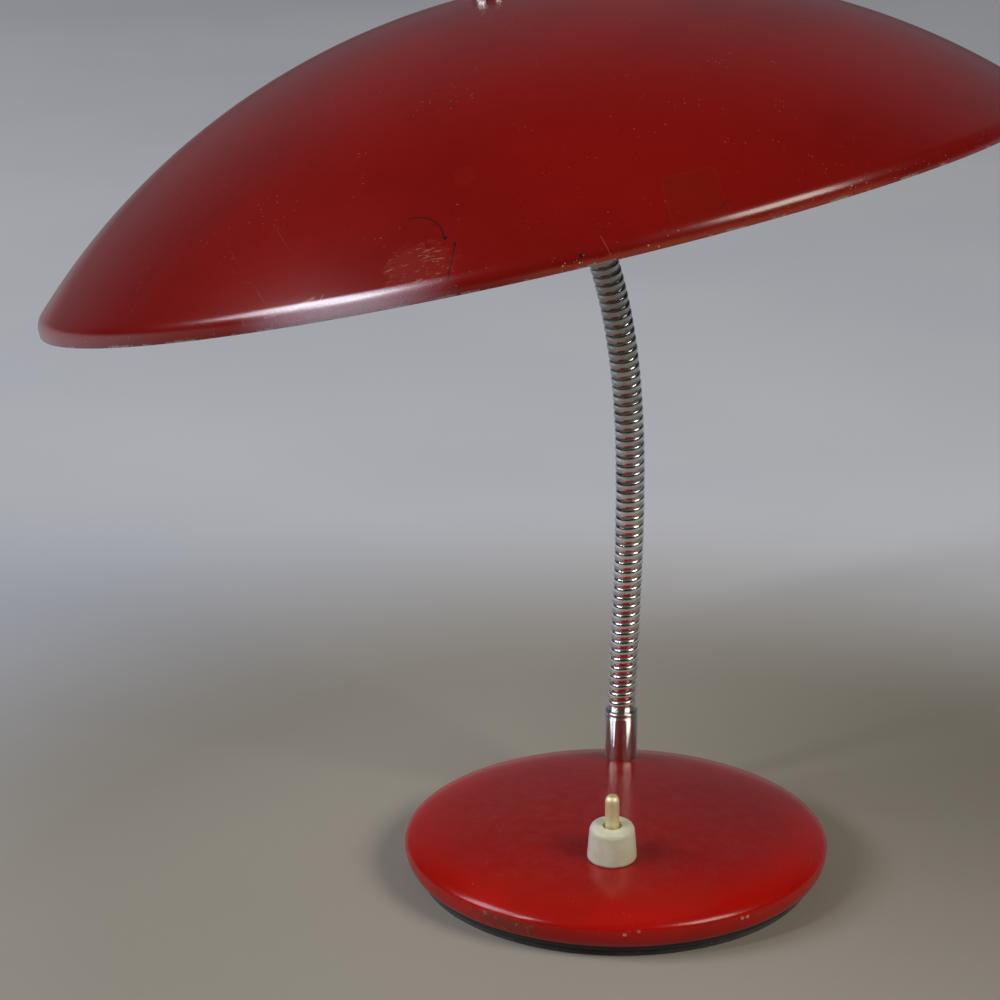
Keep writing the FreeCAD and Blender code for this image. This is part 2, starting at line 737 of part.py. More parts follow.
def write_head():
    save("hub", make_hub())
    save("centre_tube", make_centre_tube())
    save("holder_bridge", make_holder_bridge())
    save("jam_nut", make_jam_nut())
    save("holder_shells", group(on_holders(holder_shell())))
    save("holder_rings", group(on_holders(holder_ring())))
    save("holder_cores", group(on_holders(holder_core())))
    save("holder_contacts", group(on_holders(holder_contact())))
    save("bulb_caps", group(on_holders(bulb_cap())))
    save("bulb_glasses", group(on_holders(bulb_glass())))
    save("shade", make_shade())
    save("shade_nut", make_shade_nut())
    save("top_washer", make_top_washer())
    save("finial", make_finial())


os.makedirs("parts", exist_ok=True)
write_base()
write_switch()
write_neck()
write_knuckle()
write_head()
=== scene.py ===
import json
import math

import bmesh
import bpy
from mathutils import Matrix, Vector


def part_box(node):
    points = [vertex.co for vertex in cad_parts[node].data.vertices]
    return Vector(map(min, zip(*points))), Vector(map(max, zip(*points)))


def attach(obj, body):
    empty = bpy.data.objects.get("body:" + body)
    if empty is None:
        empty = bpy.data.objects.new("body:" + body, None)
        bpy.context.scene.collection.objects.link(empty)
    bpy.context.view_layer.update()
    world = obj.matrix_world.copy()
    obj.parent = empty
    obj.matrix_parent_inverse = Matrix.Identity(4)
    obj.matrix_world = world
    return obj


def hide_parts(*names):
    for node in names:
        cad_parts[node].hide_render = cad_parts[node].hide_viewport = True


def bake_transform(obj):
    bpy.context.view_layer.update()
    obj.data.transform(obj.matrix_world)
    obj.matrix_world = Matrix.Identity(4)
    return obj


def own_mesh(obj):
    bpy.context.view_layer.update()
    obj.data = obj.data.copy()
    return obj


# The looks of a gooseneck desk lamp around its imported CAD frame. Metres, +Z up, -Y is the front.

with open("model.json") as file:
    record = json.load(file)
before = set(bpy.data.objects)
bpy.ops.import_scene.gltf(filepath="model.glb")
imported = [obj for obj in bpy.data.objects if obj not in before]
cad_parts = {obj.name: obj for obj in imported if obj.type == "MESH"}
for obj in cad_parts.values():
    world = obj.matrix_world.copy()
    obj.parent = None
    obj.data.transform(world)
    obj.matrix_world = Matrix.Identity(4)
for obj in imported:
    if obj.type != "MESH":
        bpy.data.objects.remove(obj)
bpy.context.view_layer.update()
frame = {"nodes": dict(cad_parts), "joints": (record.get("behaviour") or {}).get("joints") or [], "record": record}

MM = 0.001
UP = Vector((0, 0, 1))


# ------------------------------------------------------------------ places, read from the record

joints = {joint["name"]: joint for joint in frame["joints"]}


def centre(node):
    """The middle of a node's box at rest."""
    low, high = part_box(node)
    return (low + high) / 2


def axes(origin, z_axis, x_axis):
    """A place with its Z along one direction and its X as near as can be to another."""
    z = z_axis.normalized()
    y = z.cross(x_axis).normalized()
    x = y.cross(z)
    turn = Matrix((x, y, z)).transposed().to_4x4()
    return Matrix.Translation(origin) @ turn


KNUCKLE = Vector(joints["head_tilt"]["pos_m"])
TILT_AXIS = Vector(joints["head_tilt"]["axis"])
NECK_END_AXIS = Vector(joints["head_swivel"]["axis"])
SHADE_AXIS = (centre("top_washer") - KNUCKLE).normalized()
KNUCKLE_IN_SHADE = 44 * MM  # above the rim's plane
RIM_CENTRE = KNUCKLE - SHADE_AXIS * KNUCKLE_IN_SHADE
SHADE_PLACE = axes(RIM_CENTRE, SHADE_AXIS, TILT_AXIS)
HEAD_PLACE = axes(KNUCKLE, SHADE_AXIS, TILT_AXIS)

SWITCH_AXIS = -Vector(joints["button_press"]["axis"])
SWITCH_POINT = centre("push_button")
CAP_HALF_HEIGHT = 7.025 * MM
SWITCH_ORIGIN = centre("switch_cap") - SWITCH_AXIS * CAP_HALF_HEIGHT
SWITCH_PLACE = axes(SWITCH_ORIGIN, SWITCH_AXIS, Vector((1, 0, 0)))

FERRULE_TOP_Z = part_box("arm_ferrule")[1].z
NECK_START = Vector((centre("arm_ferrule").x, centre("arm_ferrule").y, FERRULE_TOP_Z))


# ------------------------------------------------------------------ meshes

def make_piece(name, points, faces, place, materials, face_material=None, crease=40):
    """A shown object from points drawn in a place, laid down in the shared frame."""
    mesh = bpy.data.meshes.new(name)
    mesh.from_pydata([place @ Vector(point) for point in points], [], faces)
    for material in materials:
        mesh.materials.append(material)
    if face_material:
        mesh.polygons.foreach_set("material_index", face_material)
    mesh.polygons.foreach_set("use_smooth", [True] * len(mesh.polygons))
    mesh.set_sharp_from_angle(angle=math.radians(crease))
    piece = bpy.data.objects.new(name, mesh)
    bpy.context.scene.collection.objects.link(piece)
    return piece


def lathe_data(outline, around, closed):
    """Points, faces and each face's place along the outline, for an outline turned about Z."""
    points, rows = [], []
    for radius, height in outline:
        if radius < 1e-7:
            rows.append([len(points)])
            points.append((0, 0, height))
        else:
            rows.append(list(range(len(points), len(points) + around)))
            for i in range(around):
                angle = 2 * math.pi * i / around
                points.append((radius * math.cos(angle), radius * math.sin(angle), height))
    pairs = list(zip(rows, rows[1:]))
    if closed:
        pairs.append((rows[-1], rows[0]))
    faces, bands = [], []
    for band, (a, b) in enumerate(pairs):
        for i in range(around):
            j = (i + 1) % around
            if len(a) == 1:
                faces.append((a[0], b[i], b[j]))
            elif len(b) == 1:
                faces.append((a[i], b[0], a[j]))
            else:
                faces.append((a[i], b[i], b[j], a[j]))
            bands.append(band)
    return points, faces, bands


def lathe(name, outline, place, materials, around=128, closed=False, band_material=None, crease=40):
    points, faces, bands = lathe_data(outline, around, closed)
    per_face = [band_material(band) for band in bands] if band_material else None
    piece = make_piece(name, points, faces, place, materials, per_face, crease)
    face_outwards(piece)
    return piece


def face_outwards(piece):
    """Turns every face of a closed shape to the outside."""
    shape = bmesh.new()
    shape.from_mesh(piece.data)
    bmesh.ops.recalc_face_normals(shape, faces=shape.faces)
    shape.to_mesh(piece.data)
    shape.free()


def rounded(outline, radius, steps=4):
    """The outline with its inner corners softened over that distance."""
    out = [outline[0]]
    for before, corner, after in zip(outline, outline[1:], outline[2:]):
        p, a, b = Vector(corner), Vector(before), Vector(after)
        start = p + (a - p).normalized() * min(radius, (a - p).length * 0.45)
        end = p + (b - p).normalized() * min(radius, (b - p).length * 0.45)
        for k in range(steps + 1):
            t = k / steps
            out.append(tuple(start * (1 - t) ** 2 + p * (2 * t * (1 - t)) + end * t ** 2))
    out.append(outline[-1])
    return out


def in_mm(outline):
    """An outline given in millimetres, in metres."""
    return [(r * MM, z * MM) for r, z in outline]


def cut_holes(piece, rods):
    """Cuts round holes, each a (centre, axis, radius, length), and keeps the result as a plain mesh."""
    cutters = []
    for spot, axis, radius, length in rods:
        outline = [(0, -length / 2), (radius, -length / 2), (radius, length / 2), (0, length / 2)]
        cutter = lathe("cutter", outline, axes(spot, axis, Vector((0, 1, 0.001)).cross(axis)), [], around=64)
        modifier = piece.modifiers.new("hole", "BOOLEAN")
        modifier.operation = "DIFFERENCE"
        modifier.solver = "EXACT"
        modifier.object = cutter
        cutters.append(cutter)
    graph = bpy.context.evaluated_depsgraph_get()
    mesh = bpy.data.meshes.new_from_object(piece.evaluated_get(graph), depsgraph=graph)
    piece.modifiers.clear()
    piece.data = mesh
    for cutter in cutters:
        bpy.data.objects.remove(cutter)


# ------------------------------------------------------------------ procedural materials

class Field:
    """A number that varies over a surface. It takes arithmetic."""

    def __init__(self, paint, socket):
        self.paint = paint
        self.socket = socket

    def __add__(self, other):
        return self.paint.math("ADD", self, other)

    def __sub__(self, other):
        return self.paint.math("SUBTRACT", self, other)

    def __rsub__(self, other):
        return self.paint.math("SUBTRACT", other, self)

    def __mul__(self, other):
        return self.paint.math("MULTIPLY", self, other)

    def __abs__(self):
        return self.paint.math("ABSOLUTE", self)

    __radd__ = __add__
    __rmul__ = __mul__


def socket_of(value):
    """The node socket behind a field. Plain values pass through."""
    return value.socket if isinstance(value, Field) else value


class Paint:
    """Builds one node material. Its coordinates are those of the place the surface was turned in."""

    def __init__(self, name, place=Matrix.Identity(4)):
        self.origin = place.translation
        self.turn = place.to_euler()
        self.material = bpy.data.materials.new(name)
        self.material.use_nodes = True
        self.tree = self.material.node_tree
        self.tree.nodes.clear()

    def node(self, kind, inputs=None, **settings):
        made = self.tree.nodes.new(kind)
        for key, value in settings.items():
            setattr(made, key, value)
        for key, value in (inputs or {}).items():
            value = socket_of(value)
            if isinstance(value, bpy.types.NodeSocket):
                self.tree.links.new(value, made.inputs[key])
            else:
                made.inputs[key].default_value = value
        return made

    def math(self, operation, *values):
        made = self.node("ShaderNodeMath", dict(enumerate(values)), operation=operation)
        return Field(self, made.outputs[0])

    def ramp(self, value, low, high, out_low=0.0, out_high=1.0):
        """Smooth step of a field, from out_low at low to out_high at high."""
        made = self.node("ShaderNodeMapRange", {"Value": value, "From Min": low, "From Max": high,
                                                "To Min": out_low, "To Max": out_high},
                         interpolation_type="SMOOTHSTEP")
        return Field(self, made.outputs["Result"])

    def mix(self, share, a, b):
        """Colour a where share is 0 and b where it is 1."""
        made = self.node("ShaderNodeMix", {0: share, 6: a, 7: b}, data_type="RGBA")
        return made.outputs[2]

    def place(self, scale=(1, 1, 1), turn=(0, 0, 0)):
        """Object coordinates, turned and then scaled along each axis."""
        coordinates = self.node("ShaderNodeTexCoord").outputs["Object"]
        local = self.node("ShaderNodeMapping", {"Vector": coordinates, "Location": self.origin,
                                                "Rotation": self.turn}, vector_type="TEXTURE")
        turned = self.node("ShaderNodeMapping", {"Vector": local.outputs[0], "Rotation": turn})
        return self.node("ShaderNodeMapping", {"Vector": turned.outputs[0], "Scale": scale}).outputs[0]

    def noise(self, scale, detail=3.0, roughness=0.5, distortion=0.0, at=None):
        made = self.node("ShaderNodeTexNoise", {"Vector": at or self.place(), "Scale": scale, "Detail": detail,
                                                "Roughness": roughness, "Distortion": distortion})
        return Field(self, made.outputs[0])

    def streaks(self, scale, stretch, turn, low, high):
        """Sparse straight hairlines, thin along Y after the turn."""
        at = self.place(scale=(1, stretch, 1), turn=turn)
        return self.ramp(self.noise(scale, 2.0, 0.5, 0.0, at), low, high)

    def specks(self, scale, size):
        """Small round spots, one in some of the cells of a grid of that scale."""
        cells = self.node("ShaderNodeTexVoronoi", {"Vector": self.place(), "Scale": scale})
        return self.ramp(Field(self, cells.outputs["Distance"]), size, size * 0.5)

    def position(self):
        """X, Y and Z in the material's own place."""
        made = self.node("ShaderNodeSeparateXYZ", {0: self.place()})
        return [Field(self, socket) for socket in made.outputs]

    def edges(self, radius):
        """A field near 1 along sharp edges and 0 on flat faces, and the normal that rounds them."""
        bevel = self.node("ShaderNodeBevel", {"Radius": radius}, samples=6)
        flat = self.node("ShaderNodeNewGeometry")
        turned = self.node("ShaderNodeVectorMath", {0: bevel.outputs[0], 1: flat.outputs["Normal"]},
                           operation="DOT_PRODUCT")
        return self.ramp(Field(self, turned.outputs["Value"]), 0.995, 0.90), bevel.outputs[0]

    def attribute(self, name):
        """A number stored on the mesh's points."""
        return Field(self, self.node("ShaderNodeAttribute", attribute_name=name).outputs["Fac"])

    def finish(self, height=None, bump=0.1, distance=0.2 * MM, normal=None, **shader):
        """Closes the material with a principled shader. Names use _ for the spaces in a socket's name."""
        inputs = {key.replace("_", " "): value for key, value in shader.items()}
        if height is not None:
            bumped = {"Height": height, "Strength": bump, "Distance": distance}
            if normal is not None:
                bumped["Normal"] = normal
            inputs["Normal"] = self.node("ShaderNodeBump", bumped).outputs[0]
        elif normal is not None:
            inputs["Normal"] = normal
        surface = self.node("ShaderNodeBsdfPrincipled", inputs)
        self.node("ShaderNodeOutputMaterial", {"Surface": surface.outputs[0]})
        return self.material


BASE_R = 84.6  # mm
SHADE_R = 192.0
MARKS_R = 185.0  # where the shade's marks are measured round the rim

RED_DEEP = (0.185, 0.0042, 0.0030, 1)
RED_BRIGHT = (0.225, 0.0052, 0.0036, 1)
GLOSSY_DEEP = (0.34, 0.0050, 0.0026, 1)
GLOSSY_BRIGHT = (0.43, 0.0060, 0.0030, 1)
PRIMER = (0.37, 0.055, 0.026, 1)
CREAM = (0.62, 0.50, 0.36, 1)
BARE = (0.30, 0.24, 0.20, 1)
DARK = (0.012, 0.008, 0.008, 1)


def line_distance(paint, u, v, start, end):
    """Distance from a straight stroke between two points, in the units of u and v."""
    du, dv = end[0] - start[0], end[1] - start[1]
    length = math.hypot(du, dv)
    along = ((u - start[0]) * (du / length) + (v - start[1]) * (dv / length))
    held = paint.math("MINIMUM", paint.math("MAXIMUM", along, 0.0), length)
    off_u = u - start[0] - held * (du / length)
    off_v = v - start[1] - held * (dv / length)
    return paint.math("SQRT", off_u * off_u + off_v * off_v)


def spot_distance(paint, u, v, middle, half_u, half_v):
    """1 on the edge of an oval spot, 0 at its middle."""
    du = (u - middle[0]) * (1 / half_u)
    dv = (v - middle[1]) * (1 / half_v)
    return paint.math("SQRT", du * du + dv * dv)


def lacquer_ground(paint, deep, bright):
    """Colour, scratches, slow and fine variation and height shared by the two red lacquers."""
    drift = paint.noise(11, 4, 0.6)
    colour = paint.mix(paint.ramp(drift, 0.35, 0.65), deep, bright)
    mottled = paint.noise(140, 4, 0.65)
    colour = paint.mix(paint.ramp(mottled, 0.45, 0.75) * 0.10, colour, (0.20, 0.012, 0.010, 1))
    dust = paint.specks(420, 0.16) * paint.ramp(paint.noise(60, 2), 0.5, 0.7)
    colour = paint.mix(dust * 0.35, colour, (0.42, 0.20, 0.16, 1))
    hairlines = (paint.streaks(26, 46, (0.2, 0.5, 0.9), 0.72, 0.78)
                 + paint.streaks(22, 52, (1.1, 0.2, -0.6), 0.73, 0.79))
    colour = paint.mix(hairlines * 0.03, colour, (0.40, 0.11, 0.08, 1))
    peel = paint.noise(420, 2, 0.5) * 0.5 + drift * 0.6
    return colour, hairlines, drift, mottled, peel


def shade_lacquer():
    """Red lacquer of the shade: chips, scuffs, hairs, and a pale worn stretch of the near rim that is partly a
    painted highlight. u runs round the rim and v up from it, in mm.
    """
    paint = Paint("shade_red_lacquer", SHADE_PLACE)
    colour, hairlines, drift, mottled, height = lacquer_ground(paint, RED_DEEP, RED_BRIGHT)
    x, y, z = paint.position()
    radius = paint.math("SQRT", x * x + y * y)
    u = paint.math("ARCTAN2", y, x) * MARKS_R
    inward = SHADE_R - radius * 1000.0
    rise = z * 1000.0
    v = paint.math("SQRT", inward * inward + rise * rise)
    ragged = paint.noise(260, 4, 0.7) - 0.5
    rough = 0.19 + drift * 0.06 + hairlines * 0.10

    scuffed = paint.ramp(spot_distance(paint, u, v, (-213.5, 13.0), 12.5, 9.0) + ragged * 1.6, 1.1, 0.75)
    colour = paint.mix(scuffed * 0.5, colour, (0.22, 0.011, 0.004, 1))
    strokes = paint.streaks(300, 9, (0.15, 0.25, -0.45), 0.60, 0.68) * scuffed
    colour = paint.mix(strokes * 0.22, colour, CREAM)
    lost = paint.ramp(paint.noise(700, 3, 0.6), 0.66, 0.72) * scuffed
    colour = paint.mix(lost * 0.16, colour, (0.50, 0.30, 0.12, 1))

    hook = abs(spot_distance(paint, u, v, (-216.5, 22.0), 1.0, 1.0) + ragged * 0.5 - 11.3)
    hook = paint.ramp(hook, 0.42, 0.16) * paint.ramp(u, -218.4, -217.4) * paint.ramp(v, 21.4, 22.0)
    second = paint.ramp(line_distance(paint, u, v, (-201.2, 19.0), (-204.3, 5.2)) + ragged * 0.3, 0.36, 0.14)
    blots = (paint.ramp(spot_distance(paint, u, v, (-204.6, 21.9), 0.75, 0.75), 1.1, 0.8)
             + paint.ramp(spot_distance(paint, u, v, (-162.3, 4.0), 0.85, 0.75) + ragged * 0.4, 1.1, 0.8)
             + paint.ramp(spot_distance(paint, u, v, (-201.3, 18.6), 0.55, 0.8), 1.1, 0.8))
    hairs = paint.math("MINIMUM", hook * paint.ramp(mottled, 0.3, 0.5, 0.45, 0.9) + second * 0.8 + blots, 1.0)
    colour = paint.mix(hairs * 0.9, colour, DARK)

    across = abs(u + 121.0 + (v - 15.6) * -0.17)
    upward = abs(v - 15.6 + (u + 121.0) * 0.03)
    sticker = paint.math("MAXIMUM", across * (1 / 9.7), upward * (1 / 10.3)) + ragged * 0.05
    ghost = paint.ramp(sticker, 1.01, 0.97)
    outline = paint.ramp(abs(sticker - 0.985), 0.035, 0.01)
    colour = paint.mix(ghost * paint.ramp(mottled, 0.35, 0.6, 0.4, 0.7), colour, (0.19, 0.0085, 0.0034, 1))
    colour = paint.mix(outline * 0.05, colour, (0.40, 0.08, 0.06, 1))
    smear = paint.ramp(line_distance(paint, u, v, (-115.0, 8.4), (-111.2, 10.2)) + ragged * 1.4, 0.9, 0.2)
    colour = paint.mix(smear * 0.6, colour, (0.09, 0.010, 0.010, 1))
    thumb = paint.ramp(spot_distance(paint, u, v, (-196.6, 48.0), 5.4, 5.4) + ragged * 0.5, 1.1, 0.6)
    colour = paint.mix(thumb * 0.16, colour, (0.30, 0.016, 0.010, 1))

    def scrape(start, end, rough_edge, outer, inner):
        return paint.ramp(line_distance(paint, u, v, start, end) + ragged * rough_edge, outer, inner)

    rub = (scrape((-268.0, 4.2), (-256.0, 5.3), 0.5, 0.45, 0.1)
           + scrape((-258.0, 5.0), (-250.0, 8.0), 0.9, 0.95, 0.2)
           + scrape((-247.6, 6.4), (-246.6, 8.4), 0.4, 0.45, 0.1)
           + scrape((-155.0, 9.0), (-153.4, 1.5), 0.3, 0.22, 0.05) * 0.35)
    colour = paint.mix(rub * 0.42, colour, (0.50, 0.25, 0.24, 1))

    chipped_side = paint.ramp(abs(u + 118.0), 74.0, 52.0)
    near_rim = paint.ramp(v, 6.5, 2.0)
    edge_line = paint.ramp(v + ragged * 2.2, 3.0, 1.3)
    colour = paint.mix(edge_line * chipped_side * 0.55, colour, PRIMER)
    chips = paint.specks(620, 0.24) * paint.ramp(paint.noise(170, 3, 0.6), 0.52, 0.60) * near_rim
    colour = paint.mix(chips * (0.15 + chipped_side * 0.65), colour, CREAM)
    pits = paint.specks(420, 0.20) * paint.ramp(paint.noise(120, 3, 0.6), 0.57, 0.63) * near_rim
    colour = paint.mix(pits * 0.75, colour, (0.06, 0.008, 0.008, 1))
    knocks = paint.ramp(v + ragged * 1.3, 0.85, 0.45) * paint.ramp(paint.noise(75, 4, 0.7), 0.50, 0.58)
    colour = paint.mix(knocks * 0.8, colour, BARE)

    # Painted highlight: the worn stretch of the rim band is painted pale lavender with a stronger coat; it is
    # partly worn lacquer and partly a painted highlight.
    band = paint.ramp(v, 7.5, 6.3)
    grain = paint.ramp(paint.noise(1500, 3, 0.7), 0.35, 0.65)
    worn = band * paint.ramp(abs(u + 241.0), 42.0, 4.0) * (0.75 + grain * 0.25)
    colour = paint.mix(worn * 0.70, colour, (0.64, 0.48, 0.62, 1))

    rough = rough + worn * 0.12 + scuffed * 0.06 + chips * 0.2
    height = height - chips * 1.2 - knocks * 1.5 - hairlines * 0.25 - strokes * 0.4 + ghost * 0.12
    return paint.finish(height=height, bump=0.35, distance=0.06 * MM, Base_Color=colour, Roughness=rough,
                        Coat_Weight=0.04 + worn * 0.9, Coat_Roughness=0.28, Coat_IOR=1.9, IOR=1.5)


def base_lacquer():
    """Red lacquer of the base: glossier, rubbed at the front left, dusty on top, and painted darker on top and on
    its lowest curl as painted shade.
    """
    paint = Paint("base_red_lacquer")
    colour, hairlines, drift, _, height = lacquer_ground(paint, GLOSSY_DEEP, GLOSSY_BRIGHT)
    x, y, z = paint.position()
    turn = paint.math("ARCTAN2", y, x) * BASE_R
    up = z * 1000.0
    ragged = paint.noise(190, 4, 0.7) - 0.5
    rubbed = paint.ramp(spot_distance(paint, turn, up, (-176.0, 10.6), 15.0, 3.4) + ragged * 2.0, 1.15, 0.55)
    colour = paint.mix(rubbed * 0.55, colour, (0.13, 0.035, 0.022, 1))
    bare_spots = paint.ramp(paint.noise(420, 3, 0.6), 0.58, 0.66) * rubbed
    colour = paint.mix(bare_spots * 0.5, colour, BARE)
    waist = paint.ramp(abs(up - 12.0) + ragged * 5.0, 2.2, 0.4)
    chips = paint.specks(240, 0.24) * waist * paint.ramp(paint.noise(48, 3, 0.6), 0.52, 0.60)
    colour = paint.mix(chips * 0.6, colour, CREAM)
    # Painted shade: the lowest curl of the cover, just above the felt, is painted almost black where the base
    # meets the floor.
    painted_shade_low_edge = paint.ramp(up + ragged * 2.5, 6.6, 5.2)
    colour = paint.mix(painted_shade_low_edge * 0.6, colour, (0.05, 0.010, 0.009, 1))
    # Painted shade: the top of the dome is painted a deeper red where the lamp's shade darkens it; the same top
    # mask also places the dust.
    top = paint.ramp(up, 17.0, 25.0)
    colour = paint.mix(top * 0.65, colour, (0.21, 0.0040, 0.0026, 1))
    dust = top * paint.ramp(paint.noise(150, 5, 0.7), 0.35, 0.75)
    colour = paint.mix(dust * 0.07, colour, (0.34, 0.15, 0.14, 1))
    rough = 0.19 + drift * 0.05 + rubbed * 0.22 + dust * 0.05 + chips * 0.2
    height = height - chips * 1.0 - hairlines * 0.2 - bare_spots * 0.8
    return paint.finish(height=height, bump=0.30, distance=0.06 * MM, Base_Color=colour, Roughness=rough,
                        Specular_IOR_Level=0.28, Coat_Weight=0.05, Coat_Roughness=0.10 + rubbed * 0.2,
                        IOR=1.5)


def enamel():
    """Cream enamel inside the shade, a little yellowed towards the bulbs."""
    paint = Paint("shade_inner_enamel", SHADE_PLACE)
    _, _, z = paint.position()
    heat = paint.ramp(z * 1000.0 + (paint.noise(18, 4, 0.6) - 0.5) * 30.0, 30.0, 85.0)
    colour = paint.mix(heat * 0.5, (0.66, 0.63, 0.56, 1), (0.58, 0.50, 0.37, 1))
    dirt = paint.ramp(paint.noise(60, 5, 0.65), 0.52, 0.75)
    colour = paint.mix(dirt * 0.18, colour, (0.36, 0.31, 0.25, 1))
    rim = paint.ramp(z * 1000.0 + (paint.noise(240, 3, 0.6) - 0.5) * 4.0, 2.4, 0.6)
    colour = paint.mix(rim * 0.8, colour, RED_DEEP)
    height = paint.noise(380, 2) * 0.6 + dirt * 0.2
    return paint.finish(height=height, bump=0.25, distance=0.06 * MM, Base_Color=colour,
                        Roughness=0.34 + dirt * 0.2, Coat_Weight=0.2, Coat_Roughness=0.2)


def chrome(name, worn=0.3, turned=0.0):
    """Chrome plate: faint haze, pin rust and worn edges. turned is the height of a lathe's fine rings."""
    paint = Paint(name)
    edge, soft = paint.edges(0.25 * MM)
    haze = paint.noise(90, 5, 0.6)
    colour = paint.mix(paint.ramp(haze, 0.45, 0.8) * 0.35, (0.80, 0.81, 0.82, 1), (0.60, 0.59, 0.56, 1))
    rust = paint.ramp(paint.noise(620, 4, 0.65), 0.66, 0.72) * worn
    colour = paint.mix(rust, colour, (0.20, 0.12, 0.07, 1))
    colour = paint.mix(edge * 0.3, colour, (0.55, 0.50, 0.42, 1))
    height = haze * 0.15 - rust * 0.6
    if turned:
        rings = paint.math("SINE", paint.position()[2] * (2 * math.pi / (0.35 * MM))) * turned
        soft = paint.node("ShaderNodeBump", {"Height": rings, "Strength": 1.0, "Distance": 1.0,
                                             "Normal": soft}).outputs[0]
    return paint.finish(height=height, bump=0.25, distance=0.03 * MM, normal=soft, Base_Color=colour,
                        Metallic=1.0, Roughness=0.07 + haze * 0.07 + rust * 0.4)


def neck_chrome():
    """Chrome of the wound gooseneck: bright rounds, dirty grooves, and darker towards the bulbs, partly tarnished
    and partly painted shade.
    """
    paint = Paint("neck_chrome")
    groove = paint.attribute("groove")
    haze = paint.noise(130, 5, 0.6)
    # Painted shade: the chrome is painted darker up the neck towards the bulbs, partly tarnished chrome and partly
    # painted shade under the lamp's shade.
    tarnish_and_painted_shade = paint.ramp(paint.position()[2] + (haze - 0.5) * 0.08, 0.10, 0.24)
    colour = paint.mix(tarnish_and_painted_shade, (0.88, 0.89, 0.90, 1), (0.35, 0.355, 0.36, 1))
    colour = paint.mix(paint.ramp(haze, 0.45, 0.8) * 0.35, colour, (0.27, 0.265, 0.255, 1))
    dirt = paint.ramp(groove + (haze - 0.5) * 0.5, 0.45, 0.95)
    colour = paint.mix(dirt * 0.85, colour, (0.035, 0.030, 0.028, 1))
    rust = paint.ramp(paint.noise(900, 3, 0.6), 0.66, 0.72) * 0.5
    colour = paint.mix(rust, colour, (0.22, 0.13, 0.08, 1))
    return paint.finish(height=haze * 0.3 - rust * 0.5, bump=0.2, distance=0.03 * MM, Base_Color=colour,
                        Metallic=1.0 - dirt * 0.5, Roughness=0.15 + haze * 0.08 + dirt * 0.4)


def metal(name, light, dark, rough, brushed=0.4, spots=0.4):
    """Plain working metal: brushed streaks, stains, dark blemishes and rubbed edges."""
    paint = Paint(name)
    edge, soft = paint.edges(0.3 * MM)
    grain = paint.noise(70, 3, 0.6, 0.0, paint.place(scale=(1, 1, 14)))
    stain = paint.noise(110, 5, 0.65)
    colour = paint.mix(paint.ramp(stain, 0.42, 0.72), light, dark)
    blemish = paint.ramp(paint.noise(520, 4, 0.6), 0.62, 0.70) * spots
    colour = paint.mix(blemish, colour, (dark[0] * 0.4, dark[1] * 0.36, dark[2] * 0.3, 1))
    rubbed = tuple(min(1, c * 1.2) for c in light[:3]) + (1,)
    colour = paint.mix(edge * 0.5, colour, rubbed)
    return paint.finish(height=grain * brushed + stain * 0.3 - blemish * 0.4, bump=0.3, distance=0.04 * MM,
                        normal=soft, Base_Color=colour, Metallic=1.0,
                        Roughness=rough + stain * 0.16 + blemish * 0.2 - edge * 0.08)


def solid(name, main, second, rough, spots=0.2, metallic=0.0, relief=0.4, scale=60, **more):
    """Moulded, cast or painted stuff: slow colour drift, grime in the pores and paler edges."""
    paint = Paint(name)
    edge, soft = paint.edges(0.35 * MM)
    drift = paint.noise(scale, 5, 0.6)
    grain = paint.noise(scale * 9, 3, 0.6)
    colour = paint.mix(paint.ramp(drift, 0.38, 0.68), main, second)
    grime = paint.ramp(paint.noise(scale * 3, 5, 0.7), 0.56, 0.74) * spots
    colour = paint.mix(grime, colour, (second[0] * 0.45, second[1] * 0.42, second[2] * 0.38, 1))
    lighter = tuple(c + (1 - c) * 0.18 for c in main[:3]) + (1,)
    colour = paint.mix(edge * 0.5, colour, lighter)
    return paint.finish(height=grain * relief + drift * 0.3, bump=0.3, distance=0.08 * MM, normal=soft,
                        Base_Color=colour, Metallic=metallic,
                        Roughness=rough + drift * 0.1 + grime * 0.2, **more)


def ivory():
    """Aged ivory plastic of the switch cap, darker at its foot where it meets the base."""
    paint = Paint("ivory_plastic", SWITCH_PLACE)
    edge, soft = paint.edges(0.3 * MM)
    _, _, z = paint.position()
    drift = paint.noise(160, 4, 0.6)
    colour = paint.mix(paint.ramp(drift, 0.35, 0.7), (0.68, 0.70, 0.58, 1), (0.63, 0.62, 0.45, 1))
    foot = paint.ramp(z * 1000.0 + (paint.noise(420, 3) - 0.5) * 1.6, 1.1, 0.1)
    colour = paint.mix(foot * 0.7, colour, (0.20, 0.14, 0.09, 1))
    grime = paint.ramp(paint.noise(520, 4, 0.65), 0.58, 0.72)
    colour = paint.mix(grime * 0.16, colour, (0.30, 0.24, 0.15, 1))
    colour = paint.mix(edge * 0.3, colour, (0.74, 0.71, 0.60, 1))
    lines = paint.streaks(150, 16, (0.3, 0.1, 0.7), 0.66, 0.74)
    return paint.finish(height=drift * 0.4 - lines * 0.4, bump=0.2, distance=0.05 * MM, normal=soft,
                        Base_Color=colour, Roughness=0.36 + grime * 0.14 + lines * 0.1,
                        Subsurface_Weight=0.15, Subsurface_Radius=(0.003, 0.002, 0.0012), Coat_Weight=0.15)


